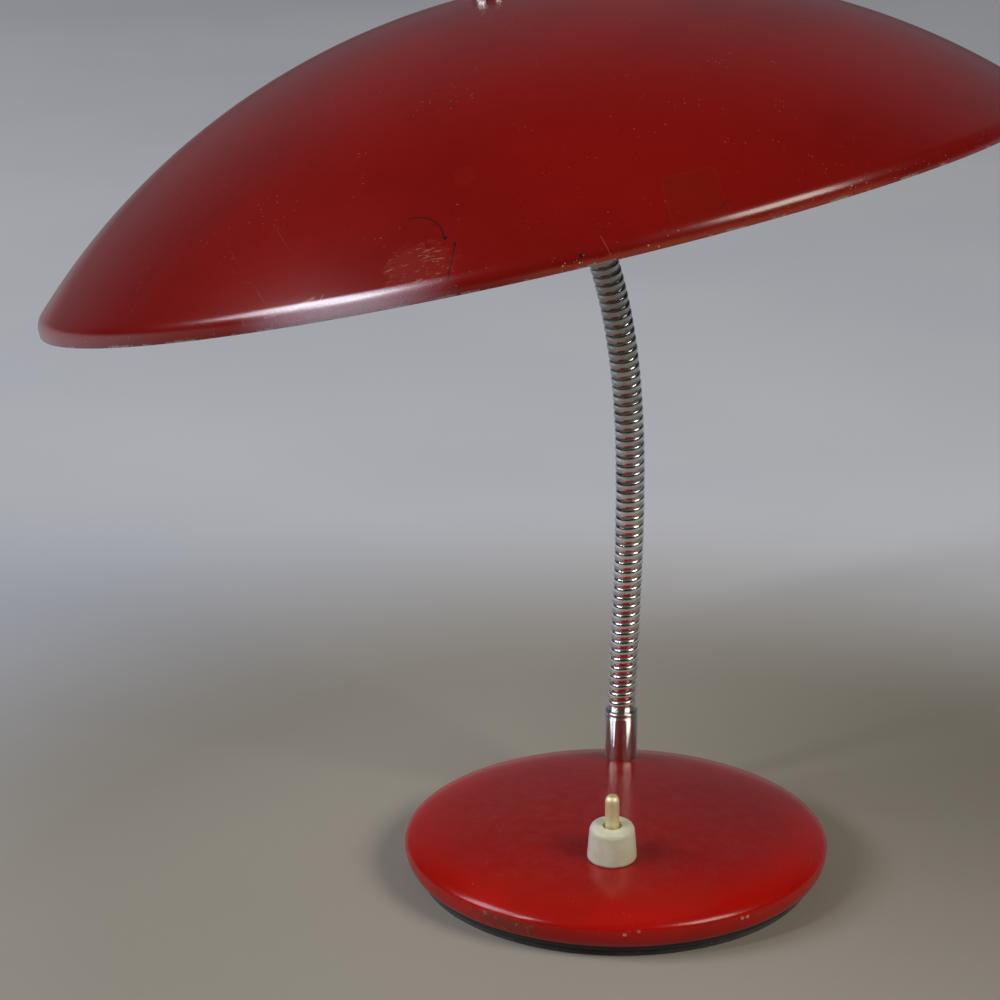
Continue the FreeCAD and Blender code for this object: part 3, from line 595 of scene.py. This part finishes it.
def felt():
    """Black felt with clumps and lint."""
    paint = Paint("felt")
    fibre = paint.noise(1500, 5, 0.7, 1.2)
    clumps = paint.noise(160, 4, 0.6)
    colour = paint.mix(paint.ramp(clumps, 0.35, 0.7), (0.018, 0.016, 0.016, 1), (0.040, 0.034, 0.032, 1))
    lint = paint.ramp(paint.noise(900, 3, 0.7), 0.62, 0.72)
    colour = paint.mix(lint * 0.4, colour, (0.16, 0.14, 0.13, 1))
    return paint.finish(height=fibre + clumps * 0.6, bump=0.8, distance=0.4 * MM, Base_Color=colour,
                        Roughness=0.92 + lint * 0.05, Sheen_Weight=0.25, Sheen_Roughness=0.5)


def opal():
    """Dusty opal glass of the bulbs."""
    paint = Paint("opal_glass")
    drift = paint.noise(45, 4, 0.6)
    dust = paint.ramp(paint.noise(380, 4, 0.65), 0.55, 0.75)
    colour = paint.mix(paint.ramp(drift, 0.35, 0.7), (0.86, 0.85, 0.81, 1), (0.80, 0.78, 0.72, 1))
    colour = paint.mix(dust * 0.12, colour, (0.45, 0.41, 0.36, 1))
    return paint.finish(height=drift, bump=0.05, distance=0.1 * MM, Base_Color=colour,
                        Roughness=0.16 + dust * 0.25, Subsurface_Weight=0.4,
                        Subsurface_Radius=(0.004, 0.004, 0.004), Coat_Weight=0.4, Coat_Roughness=0.08)


SHADE_RED = shade_lacquer()
BASE_RED = base_lacquer()
ENAMEL = enamel()
CHROME = chrome("chrome")
TURNED_CHROME = chrome("turned_chrome", worn=0.2, turned=0.032 * MM)
NECK_CHROME = neck_chrome()
BRASS = metal("brass", (0.84, 0.70, 0.40, 1), (0.66, 0.50, 0.25, 1), 0.30, 0.3, 0.2)
PIN = metal("pin_brass", (0.97, 0.89, 0.60, 1), (0.86, 0.75, 0.46, 1), 0.54, 0.3, 0.10)
FINISHES = {
    "red_lacquer": BASE_RED,
    "chrome": CHROME,
    "ivory_plastic": ivory(),
    "brass": BRASS,
    "black_steel": solid("black_steel", (0.022, 0.022, 0.022, 1), (0.034, 0.030, 0.028, 1), 0.42),
    "felt": felt(),
    "cast_iron": solid("cast_iron", (0.085, 0.082, 0.080, 1), (0.13, 0.085, 0.06, 1), 0.62,
                       spots=0.4, metallic=0.6, relief=1.5, scale=90),
    "zinc_steel": metal("zinc_steel", (0.56, 0.56, 0.54, 1), (0.40, 0.39, 0.36, 1), 0.30),
    "black_plastic": solid("black_plastic", (0.020, 0.020, 0.021, 1), (0.030, 0.028, 0.027, 1), 0.46),
    "brown_bakelite": solid("brown_bakelite", (0.075, 0.028, 0.014, 1), (0.110, 0.042, 0.020, 1), 0.28,
                            Coat_Weight=0.2),
    "porcelain": solid("porcelain", (0.78, 0.77, 0.72, 1), (0.72, 0.70, 0.63, 1), 0.20, Coat_Weight=0.3),
    "white_plastic": solid("white_plastic", (0.74, 0.73, 0.68, 1), (0.66, 0.63, 0.55, 1), 0.33),
    "lead_sheath": solid("lead_sheath", (0.64, 0.62, 0.56, 1), (0.54, 0.51, 0.44, 1), 0.55),
    "opal_glass": opal(),
}


# ------------------------------------------------------------------ base, in mm

EQUATOR_Z = 13.0
DOME_H = 14.0
COVER_T = 1.2
FOOT_R = 80.0
COVER_FOOT_Z = 5.0
ARM_HOLE_R = 5.0
SWITCH_HOLE_R = 5.0
INLET_HOLE_R = 4.0
FERRULE_FOOT_Z = 24.2


def cover_outline(inset, steps):
    """Half ellipse of the dome and the quarter ellipse that curls in to the foot, top to bottom."""
    out = []
    for k in range(steps + 1):
        angle = math.pi / 2 * (1 - k / steps)
        out.append(((BASE_R - inset) * math.cos(angle), EQUATOR_Z + (DOME_H - inset) * math.sin(angle)))
    for k in range(1, 13):
        angle = math.pi / 2 * k / 12
        out.append((FOOT_R - inset + (BASE_R - FOOT_R) * math.cos(angle),
                    EQUATOR_Z - (EQUATOR_Z - COVER_FOOT_Z) * math.sin(angle)))
    out[0] = (0, out[0][1])
    return out


def make_base_cover():
    """Pressed dome with its holes for the arm, the switch and the mains inlet."""
    outline = cover_outline(0, 60) + cover_outline(COVER_T, 40)[::-1]
    cover = lathe("base_cover_skin", in_mm(outline), Matrix.Identity(4), [BASE_RED], around=256)
    bush = centre("cord_inlet_bush")
    cut_holes(cover, [
        (Vector((NECK_START.x, NECK_START.y, 20 * MM)), UP, ARM_HOLE_R * MM, 40 * MM),
        (SWITCH_POINT, SWITCH_AXIS, SWITCH_HOLE_R * MM, 60 * MM),
        (bush, Vector((0, 1, 0)), INLET_HOLE_R * MM, 30 * MM),
    ])
    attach(cover, "base")
    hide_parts("base_cover")


def make_arm_ferrule():
    """Turned sleeve at the foot of the arm, with a fine collar at its top."""
    top = FERRULE_TOP_Z / MM
    outline = [(5.0, FERRULE_FOOT_Z), (6.8, FERRULE_FOOT_Z), (6.8, top - 5.2), (6.35, top - 4.9),
               (6.35, top - 4.3), (6.8, top - 4.0), (6.8, top - 2.9), (6.3, top - 2.5), (5.7, top - 2.4),
               (5.6, top - 0.1), (5.0, top)]
    place = Matrix.Translation((NECK_START.x, NECK_START.y, 0))
    ferrule = lathe("arm_ferrule_sleeve", in_mm(rounded(outline, 0.35)), place, [TURNED_CHROME], around=96)
    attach(ferrule, "base")
    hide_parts("arm_ferrule")


def make_switch():
    """Ivory cap and the brass pin that is pressed down into it."""
    cap = rounded([(5.0, 0.05), (9.6, 0.05), (9.6, 1.3), (8.75, 12.2), (8.15, 13.4), (6.6, 14.0),
                   (3.75, 13.9), (3.6, 13.5), (3.6, 11.0), (5.0, 11.0)], 0.45)
    piece = lathe("switch_cap_moulding", in_mm(cap), SWITCH_PLACE, [FINISHES["ivory_plastic"]], around=96,
                  closed=True)
    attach(piece, "base")
    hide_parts("switch_cap")

    button = rounded([(0, -9.8), (3.2, -9.8), (3.2, -4.8), (2.75, -4.8), (2.75, 24.6), (2.55, 25.6),
                      (1.9, 26.6), (0.9, 27.0), (0, 27.0)], 0.3)
    piece = lathe("push_button_pin", in_mm(button), SWITCH_PLACE, [PIN], around=64)
    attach(piece, "button")
    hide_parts("push_button")


def make_switch_spring():
    """The coil spring under the plunger, drawn at its rest length on the base; it does not shorten here as the
    button is pressed.
    """
    turns, wire_r, coil_r, z0, z1 = 4, 0.24, 2.15, -14.5, -10.3
    path = []
    steps = turns * 24
    for k in range(steps + 1):
        angle = 2 * math.pi * turns * k / steps
        height = z0 + (z1 - z0) * k / steps
        path.append(Vector((coil_r * math.cos(angle), coil_r * math.sin(angle), height)) * MM)
    points, faces = sweep(path, lambda travelled, angle: wire_r * MM, 8)
    zinc = FINISHES["zinc_steel"]
    spring = make_piece("switch_coil_spring", points, faces, SWITCH_PLACE, [zinc], crease=80)
    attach(spring, "base")
    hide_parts("switch_spring")
    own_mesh(spring)


# ------------------------------------------------------------------ gooseneck

def ring_frames(path):
    """A cross-section frame at each point of a path, turning no more than the path does."""
    frames = []
    tangent = (path[1] - path[0]).normalized()
    side = tangent.orthogonal().normalized()
    for k, point in enumerate(path):
        ahead = path[min(k + 1, len(path) - 1)] - path[max(k - 1, 0)]
        ahead.normalize()
        side = (side - ahead * side.dot(ahead)).normalized()
        frames.append((point, side, ahead.cross(side)))
    return frames


def lengths_along(path):
    """The length travelled from the start of a path to each of its points."""
    lengths = [0.0]
    for a, b in zip(path, path[1:]):
        lengths.append(lengths[-1] + (b - a).length)
    return lengths


def tube_faces(rings, around):
    """The walls of an open tube of that many rings."""
    faces = []
    for k in range(rings - 1):
        a, b = k * around, (k + 1) * around
        for i in range(around):
            j = (i + 1) % around
            faces.append((a + i, a + j, b + j, b + i))
    return faces


def sweep(path, radius_at, around):
    """Points and faces of a capped tube round a path. radius_at takes the length travelled and the angle."""
    points = []
    for travelled, (point, side, other) in zip(lengths_along(path), ring_frames(path)):
        for i in range(around):
            angle = 2 * math.pi * i / around
            r = radius_at(travelled, angle)
            points.append(point + (side * math.cos(angle) + other * math.sin(angle)) * r)
    faces = tube_faces(len(path), around)
    faces.append(tuple(range(around))[::-1])
    faces.append(tuple(range((len(path) - 1) * around, len(path) * around)))
    return points, faces


LINKS = 9
NECK_CREST = 6.0 * MM
NECK_VALLEY = 5.3 * MM
RIB_PITCH = 3.9 * MM
SAMPLES_PER_RIB = 16
LINK_PITCH = 29.1 * MM
LEAD_R = 2.2 * MM
TOP_FERRULE_REACH = 18 * MM

hinges = [("neck_side_%d" if k % 2 else "neck_front_%d") % k for k in range(1, LINKS)]
hinge_points = [Vector(joints[hinge]["pos_m"]) for hinge in hinges]
NECK_POINTS = [NECK_START] + hinge_points + [KNUCKLE - NECK_END_AXIS * TOP_FERRULE_REACH]
LINK_MIDDLES = [(a + b) / 2 for a, b in zip(NECK_POINTS, NECK_POINTS[1:])]
LINK_BODIES = ["base"] + ["neck_%d" % k for k in range(2, LINKS + 1)]


def neck_sections(per_link):
    """The neck's centreline in pieces: a straight start, a bend over each joint and a straight end."""
    sections = []
    first = [NECK_POINTS[0].lerp(LINK_MIDDLES[0], k / (per_link // 2)) for k in range(per_link // 2 + 1)]
    sections.append(first)
    for a, corner, b in zip(LINK_MIDDLES, NECK_POINTS[1:], LINK_MIDDLES[1:]):
        bend = []
        for k in range(per_link + 1):
            t = k / per_link
            bend.append(a * (1 - t) ** 2 + corner * (2 * t * (1 - t)) + b * t ** 2)
        sections.append(bend)
    last = [LINK_MIDDLES[-1].lerp(NECK_POINTS[-1], k / (per_link // 2)) for k in range(per_link // 2 + 1)]
    sections.append(last)
    return sections


def rib_depth(travelled, angle):
    """0 on a rib's crest to 1 down in the groove, for a strip wound in a helix."""
    phase = (travelled / RIB_PITCH - angle / (2 * math.pi)) % 1.0
    away = abs(phase - 0.5) * 2 * 0.96
    return (1 - math.sqrt(1 - away ** 2)) / 0.72


def ride_or_bend(piece, index):
    """Places piece number index of the neck: the ends ride on their bodies, the others are only laid down in the
    shared frame.
    """
    if index == 0:
        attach(piece, "base")
    elif index == LINKS:
        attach(piece, LINK_BODIES[-1])
    else:
        LINK_BODIES[index - 1]
        LINK_MIDDLES[index - 1]
        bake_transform(piece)


def make_neck_skin():
    """One ribbed tube, made whole so that its shading runs on, then cut at the middles of the links."""
    around = 48
    per_link = 2 * round(SAMPLES_PER_RIB * LINK_PITCH / RIB_PITCH / 2)
    sections = neck_sections(per_link)
    path = [sections[0][0]]
    for section in sections:
        path.extend(section[1:])

    def radius(travelled, angle):
        return NECK_CREST - (NECK_CREST - NECK_VALLEY) * rib_depth(travelled, angle)

    points, faces = sweep(path, radius, around)
    whole = make_piece("neck_whole", points, faces[:-2], Matrix.Identity(4), [])
    normals = [v.normal.copy() for v in whole.data.vertices]
    depths = []
    for travelled in lengths_along(path):
        depths.extend(rib_depth(travelled, 2 * math.pi * i / around) for i in range(around))
    bpy.data.objects.remove(whole)
    start = 0
    for index, section in enumerate(sections):
        rings = len(section)
        low, high = start * around, (start + rings) * around
        start += rings - 1
        piece = make_piece("neck_skin_%d" % index, points[low:high], tube_faces(rings, around),
                           Matrix.Identity(4), [NECK_CHROME], crease=180)
        groove = piece.data.attributes.new("groove", "FLOAT", "POINT")
        groove.data.foreach_set("value", depths[low:high])
        piece.data.normals_split_custom_set_from_vertices(normals[low:high])
        ride_or_bend(piece, index)
        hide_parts("neck_link_%d" % min(index + 1, LINKS))


def make_neck_lead():
    """The flex inside the gooseneck, along its curve. Its foot runs through the base to the terminal block."""
    block_low, block_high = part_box("terminal_block")
    floor = block_low.z + 2.4 * MM
    foot = [
        Vector((-4.5 * MM, block_high.y, block_low.z + 4 * MM)),
        Vector((-4.2 * MM, block_high.y + 9 * MM, floor)),
        Vector((-1.5 * MM, 40 * MM, floor)),
        Vector((-0.2 * MM, NECK_START.y - 4 * MM, floor + 1 * MM)),
        Vector((0, NECK_START.y, floor + 6 * MM)),
        NECK_START,
    ]
    smooth = catmull(foot, 10)
    sections = neck_sections(16)
    sections[0] = smooth + sections[0][1:]
    sections[-1] = sections[-1] + [NECK_POINTS[-1] + NECK_END_AXIS * 5.5 * MM]
    for index, section in enumerate(sections):
        points, faces = sweep(section, lambda travelled, angle: LEAD_R, 20)
        piece = make_piece("neck_flex_%d" % index, points, faces, Matrix.Identity(4),
                           [FINISHES["lead_sheath"]])
        ride_or_bend(piece, index)
        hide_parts("neck_lead")


def catmull(points, steps):
    """A smooth curve through the points."""
    ends = [points[0] * 2 - points[1]] + points + [points[-1] * 2 - points[-2]]
    out = []
    for a, b, c, d in zip(ends, ends[1:], ends[2:], ends[3:]):
        for k in range(steps):
            t = k / steps
            out.append(0.5 * (2 * b + (c - a) * t + (2 * a - 5 * b + 4 * c - d) * t ** 2
                              + (3 * b - a - 3 * c + d) * t ** 3))
    out.append(points[-1])
    return out


# ------------------------------------------------------------------ head, in mm

SHADE_DEPTH = 85.5
SHADE_T = 0.7
RIM_LIP = 2.5
RIM_EDGE_R = 6.5


def dish_outline(inset, steps):
    """The shade's section from the lip to the crown: lip, rounded edge, shallow cap."""
    centre_r = SHADE_R - RIM_EDGE_R
    rise = RIM_LIP - SHADE_DEPTH
    full = (RIM_EDGE_R ** 2 - centre_r ** 2 - rise ** 2) / (2 * (rise + RIM_EDGE_R))
    cap_z = SHADE_DEPTH - full
    meet = math.atan2(RIM_LIP - cap_z, centre_r)
    out = [(SHADE_R - inset, 0.0), (SHADE_R - inset, RIM_LIP)]
    edge_r = RIM_EDGE_R - inset
    for k in range(1, 11):
        angle = meet * k / 10
        out.append((centre_r + edge_r * math.cos(angle), RIM_LIP + edge_r * math.sin(angle)))
    for k in range(1, steps + 1):
        angle = meet + (math.pi / 2 - meet) * k / steps
        out.append(((full - inset) * math.cos(angle), cap_z + (full - inset) * math.sin(angle)))
    out[-1] = (0, out[-1][1])
    return out


def make_shade():
    """Spun dish: red outside, cream enamel inside, with the slight waves of hand spinning."""
    outer = dish_outline(0, 72)
    inner = dish_outline(SHADE_T, 48)[::-1]
    rim = [(SHADE_R - SHADE_T * 0.12, 0.0), (SHADE_R - SHADE_T * 0.88, 0.0)]
    outer[0] = (SHADE_R, SHADE_T * 0.2)
    inner[-1] = (SHADE_R - SHADE_T, SHADE_T * 0.2)
    outline = outer[::-1] + rim + inner[::-1]
    reds = len(outer) + 1
    shade = lathe("shade_dish", in_mm(outline), SHADE_PLACE, [SHADE_RED, ENAMEL], around=288,
                  band_material=lambda band: 0 if band < reds else 1, crease=60)
    back = SHADE_PLACE.inverted()
    for vertex in shade.data.vertices:
        x, y, z = back @ vertex.co
        angle = math.atan2(y, x)
        reach = math.hypot(x, y) / (SHADE_R * MM)
        wave = (math.sin(3 * angle + 0.6) + 0.6 * math.sin(5 * angle + 2.1)
                + 0.4 * math.sin(reach * 19 + angle))
        pull = (0.5 + wave / 4) * 0.12 * MM * reach ** 2
        vertex.co = SHADE_PLACE @ (Vector((x, y, z)) * (1 - pull / (SHADE_R * MM)))
    cut_holes(shade, [(RIM_CENTRE + SHADE_AXIS * SHADE_DEPTH * MM, SHADE_AXIS, 5 * MM, 20 * MM)])
    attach(shade, "head")
    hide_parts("shade")


def make_finial():
    """Domed cap nut on top of the shade, on its washer."""
    base = SHADE_DEPTH + 0.8
    outline = [(5.0, base + 0.05), (7.5, base + 0.05), (7.5, base + 0.7), (7.1, base + 1.0),
               (7.1, base + 1.4), (7.5, base + 1.7), (7.5, base + 3.6)]
    outline = rounded(outline, 0.25)
    for k in range(1, 15):
        angle = math.pi / 2 * k / 14
        outline.append((7.5 * math.cos(angle), base + 3.6 + 7.5 * math.sin(angle)))
    outline[-1] = (0, outline[-1][1])
    finial = lathe("cap_nut", in_mm(outline), SHADE_PLACE, [CHROME], around=96)
    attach(finial, "head")
    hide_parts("finial")


HOLDER_X = 20 * MM
HOLDER_Z = 8 * MM
HOLDER_DROOP = math.radians(20)


def holder_place(side):
    """The place of a lamp holder, its Z out along the bulb. side is -1 or 1."""
    outward = Vector((side * math.cos(HOLDER_DROOP), 0, -math.sin(HOLDER_DROOP)))
    local = axes(Vector((side * HOLDER_X, 0, HOLDER_Z)), outward, Vector((0, 1, 0)))
    return HEAD_PLACE @ local


def paired(name, outline, material, node, around=64):
    """The same turned piece on both lamp holder axes, as one object."""
    points, faces = [], []
    for side in (-1, 1):
        some, their_faces, _ = lathe_data(in_mm(outline), around, False)
        shift = len(points)
        points += [holder_place(side) @ Vector(p) for p in some]
        faces += [tuple(i + shift for i in f) for f in their_faces]
    piece = make_piece(name, points, faces, Matrix.Identity(4), [material])
    face_outwards(piece)
    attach(piece, "head")
    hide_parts(node)


def bulb_outline():
    """Neck, flare and ball of an opal bulb."""
    ball_at, ball_r, neck_r, flare, foot = 67.5, 22.5, 7.6, 5.0, 37.5
    join_r = neck_r + flare
    join_z = ball_at - math.sqrt(ball_r ** 2 - join_r ** 2)
    out = [(neck_r - 0.8, foot), (neck_r, foot), (neck_r, foot + 1)]
    for k in range(1, 9):
        t = k / 8
        z = foot + 1 + (join_z - foot - 1) * t
        out.append((neck_r + flare * t ** 1.9, z))
    start = math.atan2(join_r, join_z - ball_at)
    for k in range(1, 33):
        angle = start * (1 - k / 32)
        out.append((ball_r * math.sin(angle), ball_at + ball_r * math.cos(angle)))
    out[-1] = (0, out[-1][1])
    return out


def bulb_cap_outline():
    """Screw cap with the rolled rounds of its thread."""
    out = [(0, 14.4), (2.4, 14.4), (2.9, 14.9), (5.4, 16.4), (6.2, 16.6)]
    turns, z0, pitch = 5, 16.6, 3.0
    for k in range(turns * 8 + 1):
        z = z0 + pitch * k / 8
        out.append((6.6 - 0.3 * math.cos(2 * math.pi * k / 8), z))
    out += [(6.9, z0 + pitch * turns + 0.6), (6.9, 37.5), (0, 37.5)]
    return out


# ------------------------------------------------------------------ build

make_base_cover()
make_arm_ferrule()
make_switch()
make_switch_spring()
make_neck_skin()
make_neck_lead()
make_shade()
make_finial()
paired("opal_bulbs", bulb_outline(), FINISHES["opal_glass"], "bulb_glasses")
paired("bulb_screw_caps", bulb_cap_outline(), BRASS, "bulb_caps")

for part in frame["record"]["subparts"]:
    cad = frame["nodes"][part["node"]]
    cad.data.materials.clear()
    cad.data.materials.append(FINISHES[part["material_slot"]])


# ------------------------------------------------------------------ floor, light and camera

def make_floor():
    """A plain floor: warm grey near the lamp, paler behind it, and painted dark far away as painted shade."""
    paint = Paint("floor")
    x, y, _ = paint.position()
    away = paint.math("SQRT", x * x + y * y)
    cloud = paint.noise(2.2, 3, 0.5)
    near = paint.mix(paint.ramp(cloud, 0.3, 0.7), (0.325, 0.300, 0.262, 1), (0.350, 0.322, 0.282, 1))
    far = paint.mix(paint.ramp(cloud, 0.3, 0.7), (0.62, 0.635, 0.70, 1), (0.68, 0.69, 0.74, 1))
    behind = paint.ramp(away, 0.20, 0.46) * paint.ramp(y, -0.30, 0.12)
    colour = paint.mix(behind, near, far)
    # Painted shade: the floor fades to almost black far away, where the lights would otherwise light it.
    colour = paint.mix(paint.ramp(away, 3.4, 5.8), colour, (0.02, 0.02, 0.02, 1))
    grain = paint.noise(300, 3, 0.6)
    material = paint.finish(height=grain, bump=0.08, distance=0.3 * MM, Base_Color=colour,
                            Roughness=0.6 + grain * 0.1, Specular_IOR_Level=0.25)
    outline = [(0, 0), (0.5, 0), (2.0, 0), (8.0, 0)]
    floor = lathe("floor", outline, Matrix.Identity(4), [material], around=96)


def aim(thing, location, target):
    """Puts a light somewhere, turned towards a point."""
    thing.location = location
    thing.rotation_euler = (Vector(target) - Vector(location)).to_track_quat("-Z", "Y").to_euler()


def area_light(name, location, target, width, height, colour, watts):
    """A soft rectangular light, in metres and watts."""
    data = bpy.data.lights.new(name, "AREA")
    data.shape = "RECTANGLE"
    data.size = width
    data.size_y = height
    data.color = colour
    data.energy = watts
    light = bpy.data.objects.new(name, data)
    bpy.context.scene.collection.objects.link(light)
    aim(light, location, target)


def make_world():
    """A dark room with a pale wall beyond the lamp."""
    world = bpy.data.worlds.new("room")
    bpy.context.scene.world = world
    world.use_nodes = True
    tree = world.node_tree
    tree.nodes.clear()
    sky = tree.nodes.new("ShaderNodeTexCoord")
    apart = tree.nodes.new("ShaderNodeSeparateXYZ")
    tree.links.new(sky.outputs["Generated"], apart.inputs[0])
    wall = tree.nodes.new("ShaderNodeMapRange")
    wall.interpolation_type = "SMOOTHSTEP"
    wall.inputs["From Min"].default_value = 0.42
    wall.inputs["From Max"].default_value = 0.92
    tree.links.new(apart.outputs["Y"], wall.inputs["Value"])
    colour = tree.nodes.new("ShaderNodeMix")
    colour.data_type = "RGBA"
    colour.inputs[6].default_value = (0.012, 0.0115, 0.0115, 1)
    colour.inputs[7].default_value = (0.135, 0.135, 0.152, 1)
    tree.links.new(wall.outputs[0], colour.inputs[0])
    glow = tree.nodes.new("ShaderNodeBackground")
    tree.links.new(colour.outputs[2], glow.inputs["Color"])
    out = tree.nodes.new("ShaderNodeOutputWorld")
    tree.links.new(glow.outputs[0], out.inputs["Surface"])


def make_camera():
    """The photographer's view: from the front, a little to the right and above."""
    data = bpy.data.cameras.new("camera")
    data.lens = 115.2
    data.sensor_width = 36
    camera = bpy.data.objects.new("camera", data)
    bpy.context.scene.collection.objects.link(camera)
    camera.location = (0.03658, -1.17417, 0.55658)
    camera.rotation_euler = (math.radians(71.18), 0, math.radians(4.05))
    bpy.context.scene.camera = camera


make_floor()
make_world()
area_light("window_left", (-3.4, -0.75, 2.6), (0, 0, 0.15), 1.7, 1.9, (0.90, 0.93, 1.0), 95)
area_light("window_front", (-2.75, -2.15, 2.6), (0, 0, 0.15), 0.35, 1.5, (0.93, 0.96, 1.0), 40)
area_light("window_right", (3.0, -1.9, 2.8), (0, 0, 0.15), 2.0, 1.6, (1.0, 0.95, 0.82), 108)
make_camera()
bpy.context.scene.view_settings.view_transform = "Standard"
